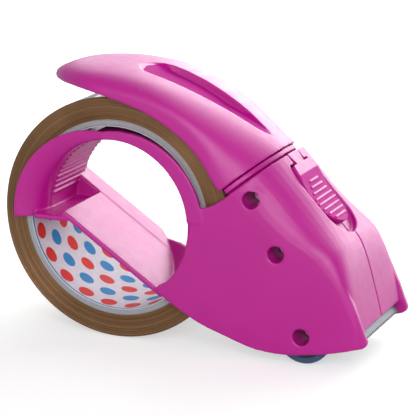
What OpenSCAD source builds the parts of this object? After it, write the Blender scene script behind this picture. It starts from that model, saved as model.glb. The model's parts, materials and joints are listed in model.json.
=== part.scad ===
// Hand-held packing tape dispenser.
// Drawn about the axis of the tape roll: X forward, Y across (the right side is -Y), Z up.
// Side outlines are lists of [x, z] points, and h counts outward to the right side, so h = -y.

/* [Tape roll] */
// Outer diameter of the full roll
roll_d = 100; // [96:0.5:104]
// Bore of the card core
core_bore = 76.2; // [75:0.1:77]
// Wall of the card core
core_wall = 2.4; // [2:0.1:3.2]
// Thickness of the printed paper glued inside the core
liner_wall = 0.3; // [0.2:0.05:0.5]
// Width of the tape
tape_w = 50; // [46:0.5:52]

/* [Shells] */
// Wall of the mouldings
wall = 2.2; // [1.8:0.1:2.6]
// Gap from the side of the roll to the inside of a shell
side_gap = 1.6; // [1.4:0.1:2.4]
// Gap round the roll where the left shell and the left skirt leave it free
load_gap = 3.5; // [3:0.5:5]
// Gap between the two shells at the seam
seam_gap = 0.1; // [0.06:0.02:0.2]
// How far the nose reaches in front of a full roll
body_reach = 59; // [58:0.5:60]
// Height of the rounded shoulder at the neck
shoulder = 20; // [18:0.5:21]
// How far the cheeks draw in from the sides at the nose
nose_taper = 1.7; // [1.2:0.1:2.2]
// Thickness of the cheeks beside the blade
cheek_t = 2.6; // [2:0.1:3]

/* [Roll hub] */
// Gap from the hub to the core
hub_clear = 2.5; // [2:0.1:3]
// Wall of the hub
hub_wall = 2.6; // [2.2:0.1:3]
// How far the hub reaches past the middle to the left
hub_reach = 12; // [8:0.5:16]
// How far the rear lip's centre sits behind the roll axis
lip_back = 7.5; // [6:0.1:8]
// Radius of the rear lip's trumpet curve
lip_curl = 11.4; // [10:0.1:12]
// Thickness of the rear lip
lip_t = 1.4; // [1.2:0.1:1.5]
// Number of finger ribs under the hub
rib_count = 15; // [10:1:18]
// Radius of a finger rib
rib_r = 0.65; // [0.5:0.05:0.9]
// Slope of the finger plate
plate_angle = 34.2; // [32:0.1:36]
// Thickness of the finger plate
plate_t = 2.2; // [1.8:0.1:2.6]

/* [Handle] */
// Gap from the side of the roll to the inside of the handle
handle_gap = 1.4; // [1.2:0.1:2]
// Height of the handle's back above a full roll
handle_lift = 8.6; // [8.4:0.1:10]
// Half width of the groove in the handle's back
groove_half = 10.3; // [8:0.1:10.8]
// Depth of the groove in the handle's back
groove_depth = 3.4; // [2:0.1:3.5]
// Gap from the brake pad to a full roll
brake_gap = 2.8; // [2.7:0.1:3]
// Thickness of the brake pad
pad_t = 2.1; // [1.6:0.1:2.2]
// Gap from the lever's tongue to a full roll
beam_gap = 3.4; // [3.2:0.1:3.8]
// Thickness of the lever's tongue
beam_t = 2.2; // [1.8:0.1:2.4]
// Width of the lever's tongue
beam_w = 30; // [28:1:34]
// Gap between the handle and the body at the neck
neck_gap = 3.3; // [3:0.1:4]
// How far the neck lies inside the outline of the handle
neck_off = 2.6; // [2.5:0.1:3]

/* [Screws] */
// Diameter of the screw recesses
recess_d = 6.8; // [6.4:0.1:7.2]
// Depth of the screw recesses
recess_depth = 15; // [12:0.5:16]
// Outer diameter of the moulded posts
post_d = 10.4; // [9.8:0.1:11]
// Diameter of the screw shanks
screw_d = 3; // [2.6:0.1:3.2]
// Clearance of a moving bore on its post, on the radius
run_clear = 0.06; // [0.03:0.01:0.09]

/* [Press roller] */
// Diameter of the press roller
roller_d = 23.4; // [22:0.1:24]
// Thickness of the rubber sleeve
sleeve_t = 2.2; // [1.8:0.1:3]
// Depth of the hollow at each end of the roller
roller_hollow = 4.5; // [3:0.1:6]

/* [Blade slide] */
// Slope of the slide
slide_angle = 48; // [46:0.5:50]
// Travel of the slide
slide_travel = 5; // [4:0.5:5]
// Width of the slide's recess
slot_w = 22.4; // [21:0.2:23]
// Depth of the slide's recess
slot_depth = 2.4; // [2:0.1:2.6]
// Thickness of the recess floor
floor_t = 1.8; // [1.4:0.1:2]
// Number of grip ribs on the thumb pad
grip_count = 8; // [6:1:9]
// Thickness of the blade
blade_t = 0.6; // [0.4:0.1:0.8]
// Length of the blade
blade_len = 43; // [40:0.5:44]
// Distance between two teeth of the blade
tooth_pitch = 1.72; // [1.4:0.02:2.2]
// Depth of the teeth
tooth_h = 1.2; // [0.8:0.1:1.6]

/* [Hidden] */
$fn = 64;

magenta = [0.72, 0.13, 0.53];
deep_magenta = [0.66, 0.05, 0.48];
steel = [0.68, 0.71, 0.74];
black = [0.10, 0.10, 0.12];

roll_r = roll_d / 2;
core_in = core_bore / 2;
core_out = core_in + liner_wall + core_wall;
tape_half = tape_w / 2;
body_half = tape_half + side_gap + wall;
handle_half = tape_half + handle_gap + wall;
hub_out = core_in - hub_clear;
hub_in = hub_out - hub_wall;
load_r = roll_r + load_gap;
roller_r = roller_d / 2;
post_r = post_d / 2;
recess_r = recess_d / 2;
screw_r = screw_d / 2;
past = 4;
fuse = 0.6;

// Nose, pivot of the handle, middle screw and press roller axis
nose = [roll_r + body_reach, -38.7];
pivot = [roll_r + 10.2, 14.2];
mid_screw = [roll_r + 21, -6.6];
roller_axis = nose + [-27.2, -0.7];
screw_points = [pivot, mid_screw, roller_axis];

// The dispenser rests on the full roll and the press roller
rest_tilt = asin((roller_r - roll_r) / norm(roller_axis)) - atan2(roller_axis[1], roller_axis[0]);
nose_reach = nose[0] * cos(rest_tilt) - nose[1] * sin(rest_tilt);
rest_origin = [(roll_r - nose_reach) / 2, 0, roll_r];

module place() {
    translate(rest_origin) rotate([0, -rest_tilt, 0]) children();
}

// Upright slab between two heights h, from an [x, z] outline
module slab(h0, h1) {
    rotate([90, 0, 0]) translate([0, 0, h0]) linear_extrude(h1 - h0) children();
}

// Ring about the roll axis from an [r, h] outline, over part of a turn
module turned(from = 0, sweep = 360) {
    rotate([90, 0, 0]) rotate([0, 0, from]) rotate_extrude(angle = sweep) children();
}

module rod(at, r, h0, h1) {
    slab(h0, h1) translate(at) circle(r);
}

function polar(r, a) = [r * cos(a), r * sin(a)];
function lerp(a, b, f) = a + (b - a) * f;
function clamp01(f) = min(1, max(0, f));
function smooth(f) = let (c = clamp01(f)) c * c * (3 - 2 * c);
function unit(v) = v / norm(v);

// Smooth curve through a list of points, t from 0 to 1
function spline(p, t) =
    let (n = len(p) - 1,
         s = min(floor(t * n), n - 1),
         f = t * n - s,
         a = p[max(s - 1, 0)],
         b = p[s],
         c = p[s + 1],
         d = p[min(s + 2, n)])
    0.5 * (2 * b + (c - a) * f + (2 * a - 5 * b + 4 * c - d) * f ^ 2
           + (3 * b - a - 3 * c + d) * f ^ 3);

// Closed skin between two grids of points, seen with rows to the front and columns upward
module skin(outer, inner) {
    rows = len(outer);
    cols = len(outer[0]);
    half = rows * cols;
    points = concat([for (r = outer) each r], [for (r = inner) each r]);
    rim = concat([for (i = [0:rows - 1]) i * cols],
                 [for (j = [1:cols - 1]) (rows - 1) * cols + j],
                 [for (i = [rows - 2:-1:0]) i * cols + cols - 1],
                 [for (j = [cols - 2:-1:1]) j]);
    sheet = [for (i = [0:rows - 2], j = [0:cols - 2])
             let (a = i * cols + j, b = a + cols) each [[a, b + 1, b], [a, a + 1, b + 1]]];
    back = [for (f = sheet) [f[0] + half, f[2] + half, f[1] + half]];
    edge = [for (k = [0:len(rim) - 1])
            let (a = rim[k], b = rim[(k + 1) % len(rim)])
            each [[a, b, b + half], [a, b + half, a + half]]];
    polyhedron(points, concat(sheet, back, edge), convexity = 8);
}

// Half section from the skirt s up a straight side and over a rounded shoulder to the crest c.
// A lower power gives a squarer shoulder, and turns are the angles of its points
function arch(s, c, w, rise, power, turns) =
    let (up = unit(c - s),
         r = min(rise, norm(c - s)),
         a = c - up * r)
    concat([[s[0], -w, s[1]]],
           [for (f = turns)
            let (q = a + up * r * sin(f) ^ power)
            [q[0], -w * cos(f) ^ power, q[1]]]);

// Inward normal of the crest curve of a table of stations whose columns 2 and 3 are the crest
function crest_in(table, t) =
    let (e = 0.01,
         d = spline(table, min(1, t + e)) - spline(table, max(0, t - e)),
         n = unit([d[2], d[3]]))
    [n[1], -n[0]];

// Stations of a shell from the neck to the nose:
// skirt x z, crest x z, draw-in, shoulder, power of the shoulder
ring_mid = hub_in + fuse;
plate_near = body_half - 0.4;
front_x = roll_r;
nose_x = nose[0];
function on_ring(a) = polar(ring_mid, a);
body_table = [
    [front_x - 1, 13.9, front_x + 17, 28.6, 0, shoulder, 0.8],
    [front_x - 6.5, 10.3, front_x + 21, 24.15, 0, shoulder, 0.8],
    concat(polar(hub_out + fuse, 11), [front_x + 25.5, 19.15, 0, shoulder, 0.8]),
    concat(on_ring(-4), [front_x + 30, 14.15, 0, shoulder, 0.8]),
    concat(on_ring(-22), [front_x + 35, 8.6, 0, shoulder - 1, 0.75]),
    concat(on_ring(-41), [front_x + 39.5, 3.6, 0, shoulder - 2, 0.64]),
    concat(on_ring(-54), [front_x + 43.5, -0.9, 0, shoulder - 4, 0.54]),
    [front_x - 14, -37.6, nose_x - 12.7, -4.5, 0, shoulder - 6, 0.47],
    [front_x, -42.8, nose_x - 10.4, -9.5, 0, shoulder - 8, 0.41],
    [front_x + 13, -46.7, nose_x - 8.4, -15.5, nose_taper * 0.12, shoulder - 10, 0.34],
    [front_x + 26, -47.4, nose_x - 6.7, -21.5, nose_taper * 0.3, shoulder - 11.5, 0.28],
    [front_x + 40, -45.6, nose_x - 5.1, -27.3, nose_taper * 0.55, shoulder - 13, 0.23],
    [nose_x - 9, -43.3, nose_x - 3.8, -32.4, nose_taper * 0.8, shoulder - 14.5, 0.2],
    [nose_x - 4.5, -41.9, nose_x - 3, -35.6, nose_taper, shoulder - 15.5, 0.2]];
body_steps = 42;
arch_steps = 11;
arch_turns = [for (k = [0:arch_steps]) 90 * k / arch_steps];

// Share of the section line that lies inside radius r about the roll axis
function inside_share(s, c, r) =
    let (d = c - s,
         qa = d * d,
         qb = 2 * (s * d),
         qc = s * s - r * r)
    qc >= 0 ? 0 : (-qb + sqrt(qb * qb - 4 * qa * qc)) / (2 * qa);

// One half shell, on the right, with its skirt cut back to radius cut_r about the roll axis
module half_skin(cut_r) {
    function row(t, inset) =
        let (v = spline(body_table, t),
             s0 = [v[0], v[1]],
             c0 = [v[2], v[3]],
             s = lerp(s0, c0, inside_share(s0, c0, cut_r)),
             c = c0 + crest_in(body_table, t) * inset)
        [for (p = arch(s, c, body_half - v[4] - inset, v[5] - inset, v[6], arch_turns))
         [p[0], min(p[1], -seam_gap / 2), p[2]]];
    skin([for (i = [0:body_steps]) row(i / body_steps, 0)],
         [for (i = [0:body_steps]) row(i / body_steps, wall)]);
}

// Hub of the right shell: arched tube with finger ribs, face ring, rear lip, finger plate and end wall
face_h = body_half + 0.2;
face_centre = 3;
face_r = core_in - 1.1;
face_from = 4;
edge_step = 0.3;
tube_near = body_half - wall / 2 - 0.1;
hub_from = -5;
hub_to = 184;
rib_from = 112;
rib_to = 170;

module hub_tube() {
    difference() {
        turned(hub_from, hub_to - hub_from)
            translate([hub_in, -hub_reach]) square([hub_wall, hub_reach + tube_near]);
        lip_mouth();
    }
    for (k = [0:rib_count - 1])
        rod(polar(hub_in, lerp(rib_from, rib_to, k / (rib_count - 1))), rib_r,
            1.2 - hub_reach, face_h - lip_curl - 1);
}

module face_ring() {
    slab(body_half - wall + fuse, face_h) difference() {
        translate([face_centre, 0]) circle(face_r);
        circle(hub_in + edge_step);
        translate([-2 * roll_r, -roll_r]) square([2 * roll_r - 4, 2 * roll_r]);
        rotate(face_from) translate([-roll_r, -2 * roll_r]) square([3 * roll_r, 2 * roll_r]);
    }
}

// Rear lip: a trumpet curve about a centre behind the roll axis, whose edge overlaps the roll
lip_centre = [-lip_back, -0.6];
lip_r = core_in - 1;
lip_from = 78;
lip_to = 183.5;

module about_lip() {
    translate([lip_centre[0], 0, lip_centre[1]]) turned(lip_from, lip_to - lip_from) children();
}

module lip_quarter(r) {
    translate([lip_r, face_h - lip_curl]) intersection() {
        circle(r);
        translate([-2 * lip_curl, 0]) square(2 * lip_curl);
    }
}

module rear_lip() {
    difference() {
        about_lip() difference() {
            lip_quarter(lip_curl);
            lip_quarter(lip_curl - lip_t);
        }
        rod([0, 0], hub_in + edge_step, -past, face_h + past);
    }
}

// Mouth that the lip opens in the hub tube
module lip_mouth() {
    about_lip() difference() {
        translate([0, face_h - lip_curl]) square([lip_r, lip_curl + past]);
        lip_quarter(lip_curl - lip_t / 2);
    }
}

// Finger plate, measured along its slope from its near left corner
plate_org = [-22, 2];
plate_len = 54;
plate_left = 6.5;
strip_left = 16.5;
strip_back = 13.5;
strip_step = 0.2;
sill_low = 0.6;
sill_end = 20.5;
module plate_side(s0, length, below, thick) {
    translate(plate_org) rotate(-plate_angle) translate([s0, -below - thick]) square([length, thick]);
}

// Round end wall of the finger opening: its radius falls off to the left
end_r = hub_out - 0.3;
end_fall = 0.012;
end_near = 26;
end_top = -17;
end_steps = 12;
function end_curve(grow) =
    [for (k = [0:end_steps])
     let (h = lerp(-strip_left, plate_near, k / end_steps))
     [max(2, end_r - end_fall * max(0, end_near - h) ^ 2 + grow), h]];

module end_dome(grow) {
    turned() polygon(concat([[0, -strip_left]], end_curve(grow), [[0, plate_near]]));
}

module finger_plate() {
    intersection() {
        union() {
            slab(-plate_left, plate_near) plate_side(0, plate_len, 0, plate_t);
            slab(-strip_left, -plate_left)
                plate_side(-strip_back, plate_len + strip_back, -strip_step, plate_t + strip_step);
            slab(-plate_left - plate_t, -plate_left + fuse) polygon([
                plate_org + [-hub_in + 22, -2 - plate_t],
                plate_org + [0, -plate_t],
                plate_org + [0, 0],
                plate_org + [-strip_back * cos(plate_angle), strip_back * sin(plate_angle)]]);
            slab(-plate_left, plate_near) translate([-hub_out, -plate_t - sill_low])
                square([hub_out - sill_end, plate_t]);
        }
        union() {
            end_dome(1);
            slab(-strip_left, face_h) translate([-2 * roll_r, -roll_r]) square([2 * roll_r, 2 * roll_r]);
        }
    }
    intersection() {
        difference() {
            end_dome(1.6);
            end_dome(0);
        }
        slab(-strip_left, face_h) difference() {
            translate([0, end_top - roll_r]) square(roll_r);
            plate_side(-2 * roll_r, 4 * roll_r, plate_t, roll_r);
        }
    }
}

// Slide frame: x along the slide from its rear end, z out of the top of the body
slide_org = [front_x + 17, 0, 28.6];

module in_slide() {
    translate(slide_org) rotate([0, slide_angle, 0]) children();
}

// Depth of the nose under the slide, and of the return spring, which keeps under the front wall
nose_deep = (slide_org[2] - nose[1]) * cos(slide_angle) - (nose_x - slide_org[0]) * sin(slide_angle);
return_least = 10;
return_clear = 4;
return_low = max(return_least, nose_deep - return_clear);
return_foot = 3;

// Thumb pad, measured from the rear end of the slide
pad_from_s = 5.4;
pad_round = 21;
pad_end = 34.7;
pad_gap = 0.6;
pad_proud = 0.6;

slot_half = slot_w / 2;
slot_end_gap = 0.4;
slot_round = pad_end + slide_travel + slot_end_gap - slot_half;
slot_start = 4.5;
slot_wide_at = 13;
slot_rear_half = slot_half - 1.8;
pad_half = slot_half - pad_gap;
tail_half = 5.4;
floor_low = slot_depth + floor_t;
stem_half = 2.8;
stem_from = 14;
stem_to = 24;
slide_clear = 0.35;
guide_in = 9;
guide_w = 1.6;
guide_h = 4;
stop_at = 46.5;
stop_t = 2;
stop_half = 4.5;

// The stop hangs from the front wall, which lies this far out from the nose
stop_over = 9.8204;
stop_top = nose_deep - stop_over;
stop_low = return_low + return_foot;
stop_tall = stop_low - stop_top;

// Floor under the slide's recess with the carrier's guide rib
module slide_floor() {
    in_slide() {
        translate([slot_start + 1, -slot_half - 1.6, -floor_low])
            cube([slot_round + slot_half - slot_start, slot_half + 1.6 - seam_gap / 2, floor_t + 0.8]);
        translate([slot_start + 4, -guide_in - guide_w, -floor_low - guide_h])
            cube([slot_round - slot_start, guide_w, guide_h + fuse]);
    }
}

// Recess, tail notch and stem slot cut into a shell
module slide_cut() {
    in_slide() {
        translate([0, 0, -slot_depth]) linear_extrude(past + slot_depth) {
            translate([slot_round, 0]) circle(slot_half);
            polygon([[slot_start, -slot_rear_half],
                     [slot_wide_at, -slot_half],
                     [slot_round, -slot_half],
                     [slot_round, slot_half],
                     [slot_wide_at, slot_half],
                     [slot_start, slot_rear_half]]);
        }
        translate([-past, -tail_half - slide_clear, -floor_low - fuse])
            cube([past + slot_start + 1, 2 * (tail_half + slide_clear), past + floor_low + fuse]);
        translate([stem_from - slide_clear, -stem_half - slide_clear, -floor_low - fuse])
            cube([stem_to - stem_from + slide_travel + 2 * slide_clear, 2 * (stem_half + slide_clear),
                  floor_low]);
    }
}

// Cheek beside the blade: a prow that grows out of the edge of the front face
module cheek() {
    side = body_half - nose_taper;
    slab(side - cheek_t, side) polygon([
        nose + [-10.5, 22.5],
        nose + [-8.9, 20.4],
        nose + [-6.4, 15.2],
        nose + [-4.3, 10.7],
        nose + [-2.3, 5.6],
        nose + [-0.2, 0.4],
        nose + [-0.5, -1.4],
        nose + [-2.2, -2.7],
        nose + [-9, -4.6],
        nose + [-16, -5.4]]);
}

// Hollow posts that take the screws and carry the handle and the press roller
module right_posts() {
    for (p = screw_points) rod(p, post_r, seam_gap / 2, body_half - wall + fuse);
}

module right_post_bores() {
    for (p = screw_points) {
        rod(p, recess_r, body_half - recess_depth, body_half + past);
        rod(p, screw_r + 0.3, -past, body_half);
    }
}

module right_shell() {
    color(magenta) place() difference() {
        union() {
            half_skin(0);
            right_posts();
            slide_floor();
            cheek();
            in_slide() translate([stop_at, -stop_half, -stop_low])
                cube([stop_t, 2 * stop_half, stop_tall]);
            face_ring();
            hub_tube();
            rear_lip();
            finger_plate();
        }
        slide_cut();
        right_post_bores();
    }
}

screw_bite = 16;
module left_shell() {
    color(magenta) place() difference() {
        union() {
            mirror([0, 1, 0]) {
                half_skin(load_r);
                right_posts();
                slide_floor();
                cheek();
            }
        }
        mirror([0, 1, 0]) slide_cut();
        for (p = screw_points) rod(p, screw_r + 0.05, -screw_bite, past);
    }
}

// Rim of the handle at the neck, set back from the neck of the body
neck_drop = 0.7;
body_neck = [for (k = [0, 2]) [body_table[0][k], body_table[0][k + 1]]];
neck_up = unit(body_neck[1] - body_neck[0]);
neck_ahead = [neck_up[1], -neck_up[0]];
neck_skirt = body_neck[0] - neck_ahead * neck_gap;
neck_crest = body_neck[1] - neck_ahead * neck_gap - neck_up * neck_drop;

// Stations of the handle from its tip towards the neck: skirt angle and lift off the roll's rim,
// crest angle and lift over the low middle of the back, draw-in, shoulder, power of the shoulder
tip_half = 3;
handle_table = [
    [123.8, 15.7, 123.5, 7.6, handle_half - tip_half, 6, 0.8],
    [121.6, 12.9, 119.9, 7.7, handle_half - 3.6 * tip_half, 8, 0.75],
    [114.2, 8.6, 113.4, 6.7, 8, 9, 0.7],
    [102, 3.6, 102.6, 3.6, 1.2, 10, 0.65],
    [86.5, -0.6, 90, 1.1, 0, 10, 0.65],
    [68.7, -2.3, 77.1, 0, 0, 10, 0.65],
    [50.3, -2.5, 62.2, 0.1, 0, 10, 0.68],
    [36, -2, 46.6, 2.8, 0, 12, 0.78],
    [24.4, -1.6, 33.2, 7.6, 0, 17, 0.9]];
neck_power = 1;
handle_rows = concat([for (r = handle_table)
                      concat(polar(roll_r + r[1], r[0]), polar(roll_r + handle_lift + r[3], r[2]),
                             [r[4], r[5], r[6]])],
                     [concat(neck_skirt, neck_crest, [0, shoulder, neck_power])]);
handle_steps = 36;
handle_arch = 15;
hollow_from = 0.13;
hollow_full = 0.34;

// Groove in the handle's back: a leaf shape that ends in a point towards the neck
groove_from = 0.45;
groove_widest = 0.54;
groove_fade = 0.7;
groove_to = 0.94;
groove_run = 0.6;
groove_wall = 1.8;
groove_least = 0.8;
function groove_edge(t) =
    max(groove_least,
        groove_half * sqrt(1 - clamp01((groove_widest - t) / (groove_widest - groove_from)) ^ 2)
        * (1 - clamp01((t - groove_widest) / (groove_to - groove_widest)) ^ 1.9));
function groove_drop(t) =
    groove_depth * smooth((t - groove_from) / (groove_widest - groove_from))
    * (1 - smooth((t - groove_fade) / (groove_to - groove_fade)));

// Inward direction at the crest, which turns into the plane of the rim at the neck
rim_from = 0.9;
function handle_in(t) =
    unit(lerp(crest_in(handle_rows, t), -neck_up, smooth((t - rim_from) / (1 - rim_from))));

// Angle of the point of a shoulder that lies h from the middle
function turn_at(h, w, power) = acos((h / w) ^ (1 / power));

function handle_side(v, t, inset, cut_r) =
    let (s0 = [v[0], v[1]],
         c0 = [v[2], v[3]] + handle_in(t) * inset,
         s = lerp(s0, c0, inside_share(s0, c0, cut_r)),
         swell = inset > 0 ? smooth((t - hollow_from) / (hollow_full - hollow_from)) : 1,
         c = lerp(s, c0, max(swell, 0.001)),
         w = handle_half - v[4] - inset,
         edge = min(groove_edge(t) + (inset > 0 ? groove_wall : 0), 0.8 * w),
         rim = turn_at(edge, w, v[6]),
         foot = turn_at(max(edge - groove_run, edge / 2), w, v[6]),
         turns = concat([for (k = [0:handle_arch]) rim * k / handle_arch], [foot, (foot + 90) / 2, 90]),
         p = arch(s, c, w, v[5] - inset, v[6], turns),
         drop = unit(s - c) * swell * groove_drop(t))
    [for (k = [0:len(p) - 1])
     let (d = k > handle_arch + 1 ? drop : [0, 0])
     [p[k][0] + d[0], p[k][1], p[k][2] + d[1]]];

function handle_row(t, inset) =
    let (v = spline(handle_rows, t),
         right = handle_side(v, t, inset, 0),
         left = handle_side(v, t, inset, load_r),
         n = len(left))
    concat(right, [for (k = [n - 2:-1:0]) [left[k][0], -left[k][1], left[k][2]]]);

// Two screws hold the handle on the lever's tongue
pad_r = roll_r + brake_gap;
beam_r = roll_r + beam_gap;
beam_top = beam_r + beam_t;
beam_from = 21;
beam_to = 46;
handle_screw_angle = 38;
handle_screw_h = 9.5;
handle_screw_r = 1.2;
handle_screw_bite = 3;
handle_head = [2.6, 1.5];
boss_r = 3.2;
boss_lift = 12.2;
boss_gap = 0.05;

module at_handle_screws() {
    for (side = [-1, 1])
        translate([0, side * handle_screw_h, 0]) rotate([0, 90 - handle_screw_angle, 0]) children();
}

module handle_cover() {
    color(magenta) place() difference() {
        union() {
            skin([for (i = [0:handle_steps]) handle_row(i / handle_steps, 0)],
                 [for (i = [0:handle_steps]) handle_row(i / handle_steps, wall)]);
            at_handle_screws() translate([0, 0, beam_top + boss_gap])
                cylinder(r = boss_r, h = roll_r + boss_lift - beam_top - boss_gap);
        }
        at_handle_screws() translate([0, 0, beam_top - past])
            cylinder(r = handle_screw_r + 0.05, h = past + handle_screw_bite + fuse);
    }
}

// Frame of the neck: x down the section from the crest, z forward through the neck
neck_tall = norm(neck_crest - neck_skirt);
neck_turn = atan2(neck_up[1], -neck_up[0]);
module in_neck() {
    translate([neck_crest[0], 0, neck_crest[1]]) rotate([0, neck_turn, 0]) children();
}

neck_foot = 1.5;
neck_enter = 2;
neck_steps = 18;
collar_off = 0.8;
collar_from = 0.35;
collar_gap = 0.7;
bulkhead_off = 3.4;
bulkhead_foot = 4;
bulkhead_back = 2;
bulkhead_t = 2.6;
arm_in = 14.5;
arm_t = 3;
eye_r = 8.2;

// Outline of the neck at an inset from the outside of the handle, as [down, across] points
// from a foot on one side over the crest to the foot on the other
function neck_outline(inset, foot) =
    let (r = shoulder - inset,
         w = handle_half - inset,
         low = neck_tall - foot - inset,
         from = low > r ? 0 : asin(1 - low / r),
         side = concat(low > r ? [[low + inset, w]] : [],
                       [for (k = [0:neck_steps])
                        let (f = lerp(from, 90, k / neck_steps))
                        [inset + r * (1 - sin(f)), w * cos(f)]]))
    concat(side, [for (k = [len(side) - 2:-1:0]) [side[k][0], -side[k][1]]]);

module neck_ring(outer, inner, z0, z1) {
    inside = neck_outline(inner, neck_foot);
    translate([0, 0, z0]) linear_extrude(z1 - z0)
        polygon(concat(neck_outline(outer, neck_foot), [for (k = [len(inside) - 1:-1:0]) inside[k]]));
}

// Lever: neck with a collar in the gap, bulkhead, tongue over the roll, two arms with eyes on the posts
module handle_lever() {
    color(deep_magenta) place() difference() {
        union() {
            in_neck() {
                neck_ring(neck_off, neck_off + wall, 0, neck_gap + neck_enter);
                neck_ring(collar_off, neck_off + fuse, collar_from, neck_gap - collar_gap);
                translate([0, 0, -bulkhead_back]) linear_extrude(bulkhead_t)
                    polygon(neck_outline(bulkhead_off, bulkhead_foot));
            }
            turned(beam_from, beam_to - beam_from)
                translate([beam_r, -beam_w / 2]) square([beam_t, beam_w]);
            for (side = [-1, 1])
                slab(side * (arm_in + arm_t / 2) - arm_t / 2, side * (arm_in + arm_t / 2) + arm_t / 2) {
                    translate(pivot) circle(eye_r);
                    polygon([pivot + neck_up * eye_r * 0.7,
                             pivot - neck_up * eye_r * 0.7,
                             polar(beam_r + 0.8, beam_from + 1),
                             polar(beam_top + 4, beam_from + 8)]);
                }
        }
        rod(pivot, post_r + run_clear, -body_half, body_half);
        at_handle_screws() translate([0, 0, beam_r - past])
            cylinder(r = handle_screw_r + 0.2, h = past + beam_t + 1);
    }
}

module handle_screws() {
    color(steel) place() at_handle_screws() translate([0, 0, beam_r - 0.1]) {
        translate([0, 0, -handle_head[1]]) cylinder(r = handle_head[0], h = handle_head[1]);
        cylinder(r = handle_screw_r, h = beam_t + handle_screw_bite);
    }
}

// Brake pad: a rubber strip on each side of the groove
pad_from = 60;
pad_to = 86;
pad_w = 6.8;
pad_in = groove_half + groove_wall + 0.6;
module brake_pad() {
    color(black) place() for (h = [pad_in, -pad_in - pad_w])
        turned(pad_from, pad_to - pad_from) translate([pad_r, h]) square([pad_t, pad_w]);
}

// Tube swept along a path, with its rings turned about the path's main axis
tube_sides = 6;
module wire(path, r, axis) {
    last = len(path) - 1;
    rings = [for (i = [0:last])
             let (t = unit(path[min(last, i + 1)] - path[max(0, i - 1)]),
                  u = unit(axis - t * (axis * t)),
                  v = cross(t, u))
             each [for (k = [0:tube_sides - 1])
                   path[i] + r * (u * cos(360 * k / tube_sides) + v * sin(360 * k / tube_sides))]];
    sides = [for (i = [0:last - 1], k = [0:tube_sides - 1])
             let (a = i * tube_sides + k, b = i * tube_sides + (k + 1) % tube_sides)
             each [[a, a + tube_sides, b + tube_sides], [a, b + tube_sides, b]]];
    polyhedron(rings, concat(sides,
                             [[for (k = [0:tube_sides - 1]) k]],
                             [[for (k = [tube_sides - 1:-1:0]) last * tube_sides + k]]), convexity = 10);
}

function coil(r, pitch, turns, from) =
    [for (i = [0:turns * 8]) let (a = from + 45 * i) [r * cos(a), r * sin(a), pitch * i / 8]];

spring_wire = 0.9;
spring_r = post_r + spring_wire / 2 + 0.7;
spring_pitch = 1.7;
spring_turns = 3;
spring_legs = [11, 7];
spring_h = 3.2;
echo(least_gap_handle_spring = spring_pitch - spring_wire);

module handle_spring() {
    turns = coil(spring_r, spring_pitch, spring_turns, 90);
    ends = [turns[0] + [spring_legs[0], 0, 0], turns[len(turns) - 1] - [spring_legs[1], 0, 0]];
    color(steel) place() translate([pivot[0], -spring_h, pivot[1]]) rotate([90, 0, 0]) rotate([0, 0, -110])
        wire(concat([ends[0]], turns, [ends[1]]), spring_wire / 2, [0, 0, 1]);
}

// Slide, carrier and blade, in the slide frame
dish_r = 40;
dish_mid = 23;
dish_deep = 1.4;
grip_from = 14;
grip_to = 31.5;
grip_r = 0.6;
grip_least = 4.6;
grip_grow = 0.55;
grip_edge = 1.2;
carrier_top = floor_low + slide_clear;
carrier_t = 2.4;
carrier_half = guide_in - slide_clear;
carrier_from = 10;
carrier_to = 36;
link_at = 19;
link_r = 1.5;
link_bite = 2.2;

// The blade lies this far under the nose
blade_under = 2.5796;
blade_top = nose_deep + blade_under;
blade_back = 2.7;
blade_tip = (nose_x - blade_back - slide_org[0] + blade_top * sin(slide_angle)) / cos(slide_angle);
blade_w = 15;
bed_from = blade_tip - 27;
bed_to = blade_tip - 6;
bed_t = 2.4;
web_t = 2.2;
rivet_r = 1.5;
rivet_at = [blade_tip - 12, 14];
rivet_head = [2.4, 0.6];
rivet_top = [2.2, 0.4];
link_head = [2.8, 1.8];
spring_plate_low = return_low + return_foot;
spring_plate_t = 2;

module thumb_slider() {
    function pad_at(s) = pad_half * cos(asin(clamp01((s - pad_round) / (pad_end - pad_round))));
    edge = concat([[pad_from_s, slot_rear_half - pad_gap], [slot_wide_at, pad_half]],
                  [for (f = [0:10:90]) [lerp(pad_round, pad_end, sin(f)), pad_half * cos(f)]]);
    dish_z = dish_r - dish_deep;
    color(magenta) place() in_slide() difference() {
        union() {
            difference() {
                translate([0, 0, slide_clear - slot_depth])
                    linear_extrude(slot_depth - slide_clear + pad_proud)
                    polygon(concat(edge, [for (k = [len(edge) - 2:-1:0]) [edge[k][0], -edge[k][1]]]));
                translate([dish_mid, slot_w, dish_z]) rotate([90, 0, 0])
                    cylinder(r = dish_r, h = 2 * slot_w, $fn = 180);
            }
            translate([0, 0, slide_clear - slot_depth]) linear_extrude(slot_depth - slide_clear)
                polygon([[0, tail_half], [0, -tail_half], [pad_from_s + 1, -tail_half * 0.62],
                         [pad_from_s + 1, tail_half * 0.62]]);
            for (k = [0:grip_count - 1])
                let (s = lerp(grip_from, grip_to, k / (grip_count - 1)),
                     z = dish_z - sqrt(dish_r ^ 2 - (s - dish_mid) ^ 2),
                     half = min(grip_least + grip_grow * (s - grip_from), pad_at(s) - grip_edge))
                translate([s, half, z]) rotate([90, 0, 0]) cylinder(r = grip_r, h = 2 * half);
            translate([stem_from, -stem_half, -carrier_top])
                cube([stem_to - stem_from, 2 * stem_half, carrier_top - slot_depth + slide_clear + fuse]);
        }
        translate([link_at, 0, -carrier_top - past]) cylinder(r = link_r + 0.05, h = past + link_bite + 0.2);
    }
}

module slider_screw() {
    low = carrier_top + carrier_t;
    color(steel) place() in_slide() translate([link_at, 0, -low]) {
        cylinder(r = link_r, h = carrier_t + link_bite);
        translate([0, 0, -link_head[1]]) cylinder(r = link_head[0], h = link_head[1]);
    }
}

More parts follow.
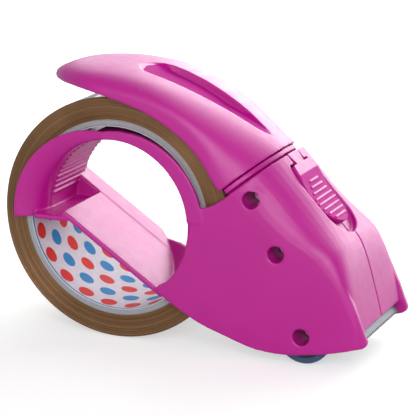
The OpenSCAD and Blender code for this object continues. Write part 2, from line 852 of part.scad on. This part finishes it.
module blade_carrier() {
    bed_z = -blade_top - blade_t - bed_t;
    color(deep_magenta) place() in_slide() difference() {
        union() {
            translate([carrier_from, -carrier_half, -carrier_top - carrier_t])
                cube([carrier_to - carrier_from, 2 * carrier_half, carrier_t]);
            translate([carrier_to - 5, -carrier_half, -spring_plate_low])
                cube([spring_plate_t, 2 * carrier_half, spring_plate_low - carrier_top - fuse]);
            for (side = [-1, 1])
                translate([0, side * (carrier_half - web_t / 2) + web_t / 2, 0]) rotate([90, 0, 0])
                    linear_extrude(web_t) polygon([
                        [carrier_to - 7, -carrier_top - 1],
                        [carrier_to, -carrier_top - 1],
                        [bed_from + 8, -blade_top + 0.4],
                        [bed_from + 9.5, -blade_top - 0.2],
                        [bed_from + 9.5, bed_z + 1],
                        [bed_from + 1, bed_z + 1]]);
            translate([bed_from, -blade_len / 2, bed_z]) cube([bed_to - bed_from, blade_len, bed_t]);
        }
        translate([link_at, 0, -carrier_top - carrier_t - past]) cylinder(r = link_r + 0.1, h = 3 * past);
        for (side = [-1, 1])
            translate([rivet_at[0], side * rivet_at[1], bed_z - past])
                cylinder(r = rivet_r + 0.05, h = bed_t + 2 * past);
    }
}

module blade() {
    teeth = floor(blade_len / tooth_pitch);
    row = teeth * tooth_pitch / 2;
    color(steel) place() in_slide() translate([0, 0, -blade_top - blade_t])
    linear_extrude(blade_t) difference() {
        polygon(concat([[blade_tip - blade_w, -row], [blade_tip - blade_w, row]],
                       [for (k = [0:teeth - 1])
                        let (y = row - k * tooth_pitch)
                        each [[blade_tip - tooth_h, y], [blade_tip, y - tooth_pitch / 2]]],
                       [[blade_tip - tooth_h, -row]]));
        for (side = [-1, 1]) translate([rivet_at[0], side * rivet_at[1]]) circle(rivet_r + 0.05);
    }
}

module blade_rivets() {
    color(steel) place() in_slide() for (side = [-1, 1])
        translate([rivet_at[0], side * rivet_at[1], -blade_top - blade_t - bed_t]) {
            cylinder(r = rivet_r, h = bed_t + blade_t);
            translate([0, 0, -rivet_head[1]]) cylinder(r = rivet_head[0], h = rivet_head[1]);
            translate([0, 0, bed_t + blade_t]) cylinder(r = rivet_top[0], h = rivet_top[1]);
        }
}

return_wire = 0.6;
return_r = 2.6;
return_turns = 6;
return_from = carrier_to - 3;
return_pitch = (stop_at - return_from - 2 * return_wire) / return_turns;
echo(least_gap_slider_spring = return_pitch - return_wire);

module slider_spring() {
    color(steel) place() in_slide() translate([return_from + return_wire, 0, -return_low]) rotate([0, 90, 0])
        wire(coil(return_r, return_pitch, return_turns, 0), return_wire / 2, [0, 0, 1]);
}

// Press roller on the lower front posts
roller_half = tape_half - 0.5;
core_r = roller_r - sleeve_t;
module roller_sleeve() {
    color([0.22, 0.32, 0.46]) place() translate([roller_axis[0], 0, roller_axis[1]])
        turned() translate([core_r, -roller_half]) square([sleeve_t, 2 * roller_half]);
}

module roller_core() {
    rim = 1.4;
    color(black) place() translate([roller_axis[0], 0, roller_axis[1]]) turned() difference() {
        translate([post_r + run_clear, -roller_half]) square([core_r - post_r - run_clear, 2 * roller_half]);
        for (h = [-roller_half - past, roller_half - roller_hollow])
            translate([0, h]) square([core_r - rim, roller_hollow + past]);
    }
}

head_t = 2.2;
drive_long = 4;
drive_w = 0.8;
drive_deep = 1.2;
module shell_screws() {
    seat = body_half - recess_depth;
    color(steel) place() for (p = screw_points) {
        rod(p, screw_r, 2 - screw_bite, seat + 0.5);
        difference() {
            rod(p, recess_r - 0.4, seat, seat + head_t);
            slab(seat + head_t - drive_deep, seat + past) translate(p) for (a = [0, 90])
                rotate(a) square([drive_long, drive_w], center = true);
        }
    }
}

module tape_winding() {
    color([0.43, 0.31, 0.21]) place() turned()
        translate([core_out, -tape_half]) square([roll_r - core_out, tape_w]);
}

module tape_core() {
    color([0.59, 0.59, 0.62]) place() turned()
        translate([core_in + liner_wall, -tape_half]) square([core_wall, tape_w]);
}

module core_liner() {
    color([0.9, 0.9, 0.92]) place() turned()
        translate([core_in, -tape_half]) square([liner_wall, tape_w]);
}

right_shell();
left_shell();
handle_cover();
handle_lever();
handle_screws();
brake_pad();
handle_spring();
thumb_slider();
slider_screw();
slider_spring();
blade_carrier();
blade();
blade_rivets();
roller_sleeve();
roller_core();
shell_screws();
tape_winding();
tape_core();
core_liner();
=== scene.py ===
import json
import math

import bmesh
import bpy
import numpy as np
from mathutils import Matrix, Vector

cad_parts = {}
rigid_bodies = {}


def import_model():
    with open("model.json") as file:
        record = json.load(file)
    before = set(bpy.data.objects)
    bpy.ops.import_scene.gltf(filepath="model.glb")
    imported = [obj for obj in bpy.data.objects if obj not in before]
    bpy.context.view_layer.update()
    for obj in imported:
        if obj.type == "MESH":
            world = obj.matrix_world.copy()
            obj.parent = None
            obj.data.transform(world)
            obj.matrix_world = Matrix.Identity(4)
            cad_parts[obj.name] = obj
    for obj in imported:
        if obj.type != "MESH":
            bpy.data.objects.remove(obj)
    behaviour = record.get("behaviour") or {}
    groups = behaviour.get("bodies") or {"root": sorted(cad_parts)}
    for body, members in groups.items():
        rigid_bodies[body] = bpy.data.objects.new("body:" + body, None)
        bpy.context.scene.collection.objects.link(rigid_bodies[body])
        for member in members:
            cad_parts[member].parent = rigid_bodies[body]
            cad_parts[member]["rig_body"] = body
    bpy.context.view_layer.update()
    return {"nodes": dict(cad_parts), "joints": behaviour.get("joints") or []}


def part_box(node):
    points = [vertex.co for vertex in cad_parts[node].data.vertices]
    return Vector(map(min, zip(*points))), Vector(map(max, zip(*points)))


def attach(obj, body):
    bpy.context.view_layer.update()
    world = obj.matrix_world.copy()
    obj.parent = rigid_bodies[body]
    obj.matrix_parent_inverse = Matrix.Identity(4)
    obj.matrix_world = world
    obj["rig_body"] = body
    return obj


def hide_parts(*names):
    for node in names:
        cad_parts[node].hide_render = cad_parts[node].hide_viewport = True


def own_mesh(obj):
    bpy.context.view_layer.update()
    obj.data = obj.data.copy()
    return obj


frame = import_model()
nodes = frame["nodes"]
joints = {j["name"]: j for j in frame["joints"]}
scene = bpy.context.scene

# Sizes in metres, from the frame where it holds them
ROLL = Vector(joints["roll_spin"]["pos_m"])
SLIDE = Vector(joints["blade_slide"]["axis"])
ROLL_R = (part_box("tape_winding")[1].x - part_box("tape_winding")[0].x) / 2
CORE_R = (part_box("tape_core")[1].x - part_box("tape_core")[0].x) / 2
TAPE_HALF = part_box("tape_winding")[1].y
CARD_WALL, LINER_WALL = 0.0024, 0.0003
CARD_IN = CORE_R - CARD_WALL
BORE_R = CARD_IN - LINER_WALL

# The side was drawn about the roll's axis, with the slide at 48 degrees, and is tilted a little at rest
SLIDE_SLOPE = math.radians(48.0)
TILT = math.atan2(-SLIDE.z, SLIDE.x) - SLIDE_SLOPE
TO_ROW = Matrix.Translation(ROLL) @ Matrix.Rotation(TILT, 4, "Y")
SLIDE_TOP = (0.067, 0.0, 0.0286)
TO_SLIDE = Matrix.Translation(SLIDE_TOP) @ Matrix.Rotation(SLIDE_SLOPE, 4, "Y")
DISH_R, DISH_DEEP, DISH_MID = 0.04, 0.0014, 0.023
DISH = TO_ROW @ TO_SLIDE @ Vector((DISH_MID, 0.0, DISH_R - DISH_DEEP))

WHITE = (1.0, 1.0, 1.0, 1.0)


# Materials


class Nodes:
    """The node tree of a material or a world, with short helpers."""

    def __init__(self, owner, shader):
        owner.use_nodes = True
        self.owner = owner
        self.tree = owner.node_tree
        self.shader = self.tree.nodes[shader]

    def add(self, kind, **values):
        n = self.tree.nodes.new(kind)
        for k, v in values.items():
            setattr(n, k, v)
        return n

    def put(self, socket, value):
        """Link a socket to another one, or give it a value."""
        if isinstance(value, bpy.types.NodeSocket):
            self.tree.links.new(value, socket)
        else:
            socket.default_value = value

    def set(self, name, value):
        """Link or give a value to one of the shader's own sockets."""
        self.put(self.shader.inputs[name], value)

    def math(self, op, a, b=0.0, c=0.0):
        n = self.add("ShaderNodeMath", operation=op)
        for socket, value in zip(n.inputs, (a, b, c)):
            self.put(socket, value)
        return n.outputs[0]

    def length(self, a, b):
        """Longest side of the right triangle on a and b."""
        return self.math("SQRT", self.math("ADD", self.math("MULTIPLY", a, a), self.math("MULTIPLY", b, b)))

    def distance(self, a, b):
        return self.math("ABSOLUTE", self.math("SUBTRACT", a, b))

    def coords(self):
        return self.add("ShaderNodeTexCoord").outputs["Object"]

    def noise(self, scale, detail=3.0, rough=0.5, vector=None, along=None):
        """Noise in space, or only along one value where that is given."""
        n = self.add("ShaderNodeTexNoise", noise_dimensions="3D" if along is None else "1D")
        if along is None:
            self.put(n.inputs["Vector"], self.coords() if vector is None else vector)
        else:
            self.put(n.inputs["W"], along)
        n.inputs["Scale"].default_value = scale
        n.inputs["Detail"].default_value = detail
        n.inputs["Roughness"].default_value = rough
        return n.outputs["Fac"]

    def ramp(self, fac, stops):
        n = self.add("ShaderNodeValToRGB")
        e = n.color_ramp.elements
        while len(e) < len(stops):
            e.new(0.5)
        for el, (at, col) in zip(e, stops):
            el.position = at
            el.color = (*col, 1.0)
        self.put(n.inputs["Fac"], fac)
        return n.outputs["Color"]

    def span(self, value, lo, hi, a=0.0, b=1.0):
        """Carry the range from lo to hi over to the range from a to b, and hold it at its ends."""
        n = self.add("ShaderNodeMapRange")
        self.put(n.inputs["Value"], value)
        for i, v in zip((1, 2, 3, 4), (lo, hi, a, b)):
            n.inputs[i].default_value = v
        return n.outputs[0]

    def mix(self, fac, a, b):
        n = self.add("ShaderNodeMix", data_type="RGBA")
        self.put(n.inputs["Factor"], fac)
        for socket, v in ((n.inputs[6], a), (n.inputs[7], b)):
            self.put(socket, v if isinstance(v, bpy.types.NodeSocket) else (*v, 1.0))
        return n.outputs[2]

    def bump(self, height, strength, distance):
        n = self.add("ShaderNodeBump")
        n.inputs["Strength"].default_value = strength
        n.inputs["Distance"].default_value = distance
        self.put(n.inputs["Height"], height)
        self.set("Normal", n.outputs["Normal"])

    def place(self, centre):
        """x, y and z of the shaded point, counted from a centre."""
        sub = self.add("ShaderNodeVectorMath", operation="SUBTRACT")
        self.put(sub.inputs[0], self.coords())
        sub.inputs[1].default_value = centre
        xyz = self.add("ShaderNodeSeparateXYZ")
        self.put(xyz.inputs[0], sub.outputs[0])
        return xyz.outputs

    def rays(self):
        """1 for rays straight from the camera, and 1 for those that come by a gloss or through glass."""
        path = self.add("ShaderNodeLightPath").outputs
        mirrored = self.math("MAXIMUM", path["Is Glossy Ray"], path["Is Transmission Ray"])
        return path["Is Camera Ray"], mirrored


def material(name):
    return Nodes(bpy.data.materials.new(name), "Principled BSDF")


def groove(n):
    """1 in the leaf-shaped groove of the handle's back, by its half width at each angle about the roll."""
    x, y, z = n.place(ROLL)
    lo, hi, widest, fade = 25.0, 95.0, 0.012, 0.0006
    leaf = ((31.0, 0.0), (35.3, 0.0032), (41.6, 0.0055), (59.1, 0.0077), (76.8, 0.0095), (84.1, 0.0102),
            (86.5, 0.0070), (88.0, 0.0))
    turn = n.span(n.math("ARCTAN2", z, x), math.radians(lo), math.radians(hi))
    half = n.ramp(turn, [((a - lo) / (hi - lo), (w / widest,) * 3) for a, w in leaf])
    inward = n.math("SUBTRACT", n.math("MULTIPLY", half, widest), n.math("ABSOLUTE", y))
    return n.span(inward, 0.0, fade)


def dish(n):
    """1 on the hollow of the thumb pad, 0 on its ribs and rim, by the distance from the hollow's axis."""
    x, _, z = n.place(DISH)
    rib, hollow = 0.00025, 0.0001
    return n.span(n.distance(n.length(x, z), DISH_R), rib, hollow)


def moulded(name, base, dark, rough, shine=0.5, dull=None, dulled=0.1):
    """Injection moulded plastic: fine spark texture, slow colour drift and slightly uneven gloss."""
    n = material(name)
    uneven, dull_rough = 0.04, 0.3
    n.set("Base Color", n.ramp(n.noise(38.0, 2.0), [(0.3, dark), (0.7, base)]))
    gloss = n.span(n.noise(260.0, 4.0), 0.3, 0.7, rough - uneven, rough + uneven)
    if dull:
        patch = dull(n)
        gloss = n.math("MULTIPLY_ADD", patch, dull_rough, gloss)
        n.set("Specular IOR Level", n.span(patch, 0.0, 1.0, shine, dulled))
    else:
        n.set("Specular IOR Level", shine)
    n.set("Roughness", gloss)
    n.set("IOR", 1.5)
    n.bump(n.noise(2600.0, 2.0, 0.6), strength=0.06, distance=0.0002)
    return n.owner


def steel(name, base, rough, along=(1.0, 1.0, 1.0)):
    """Steel with fine grinding marks along one direction."""
    n = material(name)
    worn = tuple(c * 0.72 for c in base)
    stretch = n.add("ShaderNodeMapping")
    n.put(stretch.inputs["Vector"], n.coords())
    stretch.inputs["Scale"].default_value = along
    marks = n.noise(900.0, 5.0, 0.65, stretch.outputs[0])
    n.set("Base Color", n.ramp(marks, [(0.25, worn), (0.75, base)]))
    n.set("Roughness", n.span(marks, 0.25, 0.75, rough - 0.07, rough + 0.1))
    n.set("Metallic", 0.9)
    n.bump(marks, strength=0.12, distance=0.0001)
    return n.owner


def rubber(name, base, light, rough):
    """Rubber with a dull bloom and a fine matt grain."""
    n = material(name)
    uneven = 0.08
    n.set("Base Color", n.ramp(n.noise(120.0, 4.0), [(0.3, base), (0.75, light)]))
    n.set("Roughness", n.span(n.noise(420.0, 3.0), 0.3, 0.7, rough - uneven, rough + uneven))
    n.set("Specular IOR Level", 0.3)
    n.bump(n.noise(3200.0, 2.0), strength=0.1, distance=0.0002)
    return n.owner


def tape_film():
    """Brown film: layered sides with a sheen across the layers, and a glossy outside with faint bubbles."""
    n = material("tape_film")
    x, y, z = n.place(ROLL)
    radius = n.length(x, z)
    layers = n.noise(2600.0, 4.0, 0.7, along=radius)
    bands = n.noise(420.0, 2.0, 0.5, along=radius)
    cloud = n.noise(26.0, 4.0, 0.6)
    tone = n.math("ADD", n.math("MULTIPLY_ADD", layers, 0.5, n.math("MULTIPLY", bands, 0.25)),
                  n.math("MULTIPLY", cloud, 0.25))
    side = n.ramp(tone, [(0.34, (0.076, 0.034, 0.012)), (0.5, (0.170, 0.085, 0.036)),
                         (0.68, (0.312, 0.186, 0.098))])
    outside = n.ramp(n.noise(55.0, 3.0), [(0.3, (0.14, 0.068, 0.028)), (0.75, (0.24, 0.13, 0.065))])
    on_side = n.span(n.math("ABSOLUTE", y), TAPE_HALF - 0.0008, TAPE_HALF - 0.0003)
    n.set("Base Color", n.mix(on_side, outside, side))
    n.set("Roughness", n.span(on_side, 0.0, 1.0, 0.16, 0.42))
    n.set("Metallic", n.span(on_side, 0.0, 1.0, 0.0, 0.45))
    n.set("Coat Weight", n.span(on_side, 0.0, 1.0, 0.25, 0.0))
    n.set("Coat Roughness", 0.12)
    n.set("Specular IOR Level", 0.25)
    n.set("Anisotropic", 0.9)
    n.set("Anisotropic Rotation", 0.25)
    n.set("Tangent", n.add("ShaderNodeTangent", direction_type="RADIAL", axis="Y").outputs[0])
    bubbles = n.math("MULTIPLY", n.noise(160.0, 3.0), 0.12)
    n.bump(n.math("ADD", n.math("MULTIPLY", layers, on_side), bubbles), strength=0.35, distance=0.0003)
    return n.owner


def card():
    """Grey card with fibres and the edges of its wound plies."""
    n = material("grey_card")
    x, _, z = n.place(ROLL)
    plies = n.noise(1500.0, 3.0, 0.6, along=n.length(x, z))
    fibre = n.noise(900.0, 5.0, 0.7)
    tone = n.math("MULTIPLY_ADD", plies, 0.5, n.math("MULTIPLY", fibre, 0.5))
    n.set("Base Color", n.ramp(tone, [(0.3, (0.25, 0.25, 0.275)), (0.7, (0.40, 0.40, 0.43))]))
    n.set("Roughness", n.span(fibre, 0.3, 0.7, 0.75, 0.92))
    n.bump(fibre, strength=0.25, distance=0.0002)
    return n.owner


def print_paper():
    """White coated paper with rows of red and blue dots and a thin blue line along each edge."""
    n = material("printed_paper")
    red, blue = (0.60, 0.004, 0.003), (0.0, 0.19, 0.46)
    count, pitch, dot_r, dot_core = 22.0, 0.0098, 0.0036, 0.0033
    line_at, line_half, line_core = 0.0242, 0.0005, 0.0004
    x, y, z = n.place(ROLL)
    rows = n.math("DIVIDE", y, pitch)
    row = n.math("ROUND", rows)
    odd = n.math("ABSOLUTE", n.math("MODULO", row, 2.0))
    turns = n.math("DIVIDE", n.math("ARCTAN2", z, x), 2 * math.pi)
    along = n.math("MULTIPLY_ADD", turns, count, n.math("MULTIPLY", odd, 0.5))
    du = n.math("MULTIPLY", n.math("SUBTRACT", along, n.math("ROUND", along)), 2 * math.pi * BORE_R / count)
    dv = n.math("MULTIPLY", n.math("SUBTRACT", rows, row), pitch)
    dot = n.span(n.length(du, dv), dot_r, dot_core)
    line = n.span(n.distance(n.math("ABSOLUTE", y), line_at), line_half, line_core)
    white = n.ramp(n.noise(500.0, 4.0), [(0.3, (0.58, 0.58, 0.62)), (0.7, (0.66, 0.66, 0.70))])
    n.set("Base Color", n.mix(line, n.mix(dot, white, n.mix(odd, red, blue)), blue))
    n.set("Roughness", n.span(n.noise(700.0, 3.0), 0.3, 0.7, 0.36, 0.5))
    n.set("Specular IOR Level", 0.03)
    n.bump(n.noise(1400.0, 3.0), strength=0.06, distance=0.0002)
    return n.owner


PINK, PINK_LOW = (0.480, 0.0020, 0.258), (0.452, 0.0012, 0.240)
MAGENTA = moulded("magenta_plastic", PINK, PINK_LOW, rough=0.40, shine=0.55)
HANDLE = moulded("magenta_handle_plastic", PINK, PINK_LOW, rough=0.40, shine=0.55, dull=groove)
THUMB = moulded("magenta_thumb_plastic", PINK, PINK_LOW, rough=0.40, shine=0.55, dull=dish, dulled=0.25)
# Painted shade: a darker copy of the same magenta plastic, for the blade carrier that sits inside the front
SHADED_MAGENTA = moulded("shaded_magenta_plastic", (0.430, 0.0012, 0.228), (0.400, 0.0008, 0.210), rough=0.40)
STEEL = steel("zinc_steel", (0.60, 0.61, 0.63), rough=0.34)
SPRING = steel("spring_steel", (0.46, 0.47, 0.49), rough=0.28)
BLADE = steel("ground_blade_steel", (0.125, 0.132, 0.150), rough=0.46, along=(1.0, 0.08, 1.0))
PAD = rubber("black_rubber", (0.018, 0.018, 0.020), (0.035, 0.035, 0.038), rough=0.75)
SLEEVE = rubber("slate_blue_rubber", (0.040, 0.075, 0.150), (0.055, 0.098, 0.188), rough=0.50)
ROLLER_CORE = moulded("black_plastic", (0.006, 0.007, 0.010), (0.004, 0.004, 0.006), rough=0.50)
FILM = tape_film()
CARD = card()
PAPER = print_paper()


# Pieces


def dress(obj, surface):
    obj.data.materials.clear()
    obj.data.materials.append(surface)


def finish_piece(obj, node, surface):
    dress(obj, surface)
    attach(obj, nodes[node]["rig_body"])
    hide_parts(node)
    return obj


def apply_modifiers(obj):
    bpy.context.view_layer.update()
    mesh = bpy.data.meshes.new_from_object(obj.evaluated_get(bpy.context.evaluated_depsgraph_get()))
    for m in list(obj.modifiers):
        obj.modifiers.remove(m)
    old = obj.data
    obj.data = mesh
    bpy.data.meshes.remove(old)


def shade(mesh, angle=None):
    """Smooth shading, with hard edges where faces meet at more than the angle in degrees."""
    mesh.polygons.foreach_set("use_smooth", [True] * len(mesh.polygons))
    if angle is not None:
        mesh.set_sharp_from_angle(angle=math.radians(angle))
    mesh.update()


def soften(node, name, surface, voxel, rounds, keep):
    """A moulded copy of a CAD node: even skin with rounded edges and no facets, of about keep triangles."""
    obj = bpy.data.objects.new(name, nodes[node].data.copy())
    scene.collection.objects.link(obj)
    if "custom_normal" in obj.data.attributes:
        obj.data.attributes.remove(obj.data.attributes["custom_normal"])
    weld = obj.modifiers.new("weld", "WELD")
    weld.merge_threshold = 1e-6
    skin = obj.modifiers.new("skin", "REMESH")
    skin.mode = "VOXEL"
    skin.voxel_size = voxel
    skin.adaptivity = 0.0
    ease = obj.modifiers.new("ease", "SMOOTH")
    ease.factor = 0.5
    ease.iterations = rounds
    apply_modifiers(obj)
    thin = obj.modifiers.new("thin", "DECIMATE")
    thin.ratio = min(1.0, keep / max(1, 2 * len(obj.data.polygons)))
    apply_modifiers(obj)
    shade(obj.data)
    return finish_piece(obj, node, surface)


soften("right_shell", "right_shell_skin", MAGENTA, voxel=0.00042, rounds=4, keep=90000)
soften("left_shell", "left_shell_skin", MAGENTA, voxel=0.00042, rounds=4, keep=50000)
soften("handle_cover", "handle_cover_skin", HANDLE, voxel=0.00040, rounds=4, keep=60000)
soften("handle_lever", "handle_lever_skin", MAGENTA, voxel=0.00045, rounds=3, keep=24000)
soften("thumb_slider", "thumb_slider_skin", THUMB, voxel=0.00016, rounds=2, keep=30000)
soften("blade_carrier", "blade_carrier_skin", SHADED_MAGENTA, voxel=0.00045, rounds=3, keep=12000)
soften("handle_spring", "handle_spring_wire", SPRING, voxel=0.00015, rounds=3, keep=6000)
coil = soften("slider_spring", "slider_spring_wire", SPRING, voxel=0.00010, rounds=3, keep=6000)
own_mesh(coil)


def lathe(name, profile, centre, segments, hard_edge=38):
    """Ring about the Y axis through centre from a closed list of (radius, y) points."""
    verts, faces = [], []
    count = len(profile)
    for i in range(segments):
        a = 2 * math.pi * i / segments
        for r, y in profile:
            verts.append((centre.x + r * math.cos(a), y, centre.z + r * math.sin(a)))
    for i in range(segments):
        here, there = i * count, ((i + 1) % segments) * count
        for k in range(count):
            after = (k + 1) % count
            faces.append((here + k, here + after, there + after, there + k))
    mesh = bpy.data.meshes.new(name)
    mesh.from_pydata(verts, [], faces)
    bm = bmesh.new()
    bm.from_mesh(mesh)
    bmesh.ops.recalc_face_normals(bm, faces=bm.faces)
    bm.to_mesh(mesh)
    bm.free()
    shade(mesh, hard_edge)
    obj = bpy.data.objects.new(name, mesh)
    scene.collection.objects.link(obj)
    return obj


def winding_profile():
    """Section of the wound tape: layers that stand up to 0.16 mm in and out, under a rounded outer edge."""
    rng = np.random.default_rng(7)
    layers, inset, stray = 34, 0.00002, 0.00016
    last_layer, corner = 0.0003, 0.0004
    radii = np.linspace(CORE_R, ROLL_R - last_layer, layers)
    right = [(r, -TAPE_HALF + inset + stray * rng.random()) for r in radii]
    left = [(r, TAPE_HALF - inset - stray * rng.random()) for r in radii]
    return right + [(ROLL_R, -TAPE_HALF + corner), (ROLL_R, TAPE_HALF - corner)] + left[::-1]


def card_profile():
    """Section of the card core, with its four edges broken."""
    edge = 0.0003
    left = [(CARD_IN, TAPE_HALF - edge), (CARD_IN + edge, TAPE_HALF),
            (CORE_R - edge, TAPE_HALF), (CORE_R, TAPE_HALF - edge)]
    return [(r, -y) for r, y in left] + left[::-1]


finish_piece(lathe("tape_winding_layers", winding_profile(), ROLL, 180), "tape_winding", FILM)
finish_piece(lathe("tape_core_card", card_profile(), ROLL, 160), "tape_core", CARD)

# Nodes whose own shape is kept
for node, surface in (("core_liner", PAPER), ("brake_pad", PAD), ("blade", BLADE), ("blade_rivets", STEEL),
                      ("roller_sleeve", SLEEVE), ("roller_core", ROLLER_CORE), ("shell_screws", STEEL),
                      ("slider_screw", STEEL), ("handle_screws", STEEL)):
    dress(nodes[node], surface)


# Floor, light and camera


def ground(name, tint):
    """Pale ground that takes the object's soft shadow and glows up to white further out."""
    n = material(name)
    near, far, near_glow, far_glow, mirrored_glow = 0.2, 0.8, 0.55, 1.0, 0.2
    n.set("Base Color", n.ramp(n.noise(3.0, 2.0), [(0.3, tuple(c * 0.99 for c in tint)), (0.7, tint)]))
    n.set("Roughness", 0.9)
    x, y, _ = n.place((0.0, 0.0, 0.0))
    glow = n.span(n.length(x, y), near, far, near_glow, far_glow)
    camera_ray, mirrored_ray = n.rays()
    n.set("Emission Color", WHITE)
    n.set("Emission Strength", n.math("MULTIPLY_ADD", camera_ray, glow,
                                      n.math("MULTIPLY", mirrored_ray, mirrored_glow)))
    return n.owner


FLOOR_HALF, FLOOR_DROP = 4.0, 0.0004
floor_mesh = bpy.data.meshes.new("floor")
corners = [(x * FLOOR_HALF, y * FLOOR_HALF, 0.0) for x, y in ((-1, -1), (1, -1), (1, 1), (-1, 1))]
floor_mesh.from_pydata(corners, [], [(0, 1, 2, 3)])
floor = bpy.data.objects.new("floor", floor_mesh)
floor.location.z = -FLOOR_DROP
scene.collection.objects.link(floor)
dress(floor, ground("pale_floor", (0.56, 0.56, 0.56)))

# White world: dim as a light, brighter in reflections, and full white to the camera
WORLD_LIGHT, WORLD_MIRRORED = 0.24, 0.75
scene.world = bpy.data.worlds.new("studio")
sky = Nodes(scene.world, "Background")
sky.set("Color", WHITE)
camera_ray, mirrored_ray = sky.rays()
level = sky.span(sky.math("MAXIMUM", camera_ray, mirrored_ray), 0.0, 1.0, WORLD_LIGHT, WORLD_MIRRORED)
sky.set("Strength", sky.math("MAXIMUM", level, camera_ray))


def area(name, place, aim, size, watts):
    data = bpy.data.lights.new(name, "AREA")
    data.shape = "RECTANGLE"
    data.size, data.size_y = size
    data.energy = watts
    lamp = bpy.data.objects.new(name, data)
    lamp.location = place
    lamp.rotation_euler = (Vector(aim) - Vector(place)).to_track_quat("-Z", "Y").to_euler()
    scene.collection.objects.link(lamp)


MIDDLE, HUB, FRONT = (0.0, 0.0, 0.05), (0.0, -0.01, 0.04), (0.06, 0.0, 0.04)
area("key_upper_right", (0.55, -0.95, 0.60), MIDDLE, size=(0.9, 0.7), watts=8.2)
area("front_fill", (-0.10, -1.35, 0.30), MIDDLE, size=(1.0, 0.6), watts=4.0)
area("top_soft", (0.30, 0.35, 1.05), MIDDLE, size=(0.8, 0.8), watts=1.8)
area("backdrop_glow", (0.15, 1.05, 0.55), MIDDLE, size=(2.0, 1.2), watts=12.0)
area("bore_glow", (0.07, 0.60, 0.36), HUB, size=(0.6, 0.35), watts=2.9)
area("front_strip", (0.55, 1.00, 0.20), FRONT, size=(0.6, 0.35), watts=1.6)

# Camera in the frame of the side's drawing, with its focal length in pixels of the 416 pixel wide picture
AZ, EL = math.radians(23.069), math.radians(14.461)
EYE = Vector((0.3467, -0.7431, 0.2098))
FOCAL_PX, PICTURE_PX, SENSOR_MM = 2031.384, 416.0, 36.0
back_dir = Vector((math.sin(AZ) * math.cos(EL), -math.cos(AZ) * math.cos(EL), math.sin(EL)))
right_dir = Vector((math.cos(AZ), math.sin(AZ), 0.0))
up_dir = back_dir.cross(right_dir)
stand = Matrix((right_dir, up_dir, back_dir)).transposed().to_4x4()
stand.translation = EYE
cam_data = bpy.data.cameras.new("photo_camera")
cam_data.sensor_width = SENSOR_MM
cam_data.lens = FOCAL_PX * SENSOR_MM / PICTURE_PX
cam_data.clip_start, cam_data.clip_end = 0.01, 20.0
camera = bpy.data.objects.new("photo_camera", cam_data)
scene.collection.objects.link(camera)
camera.matrix_world = TO_ROW @ stand
scene.camera = camera
scene.view_settings.view_transform = "Standard"
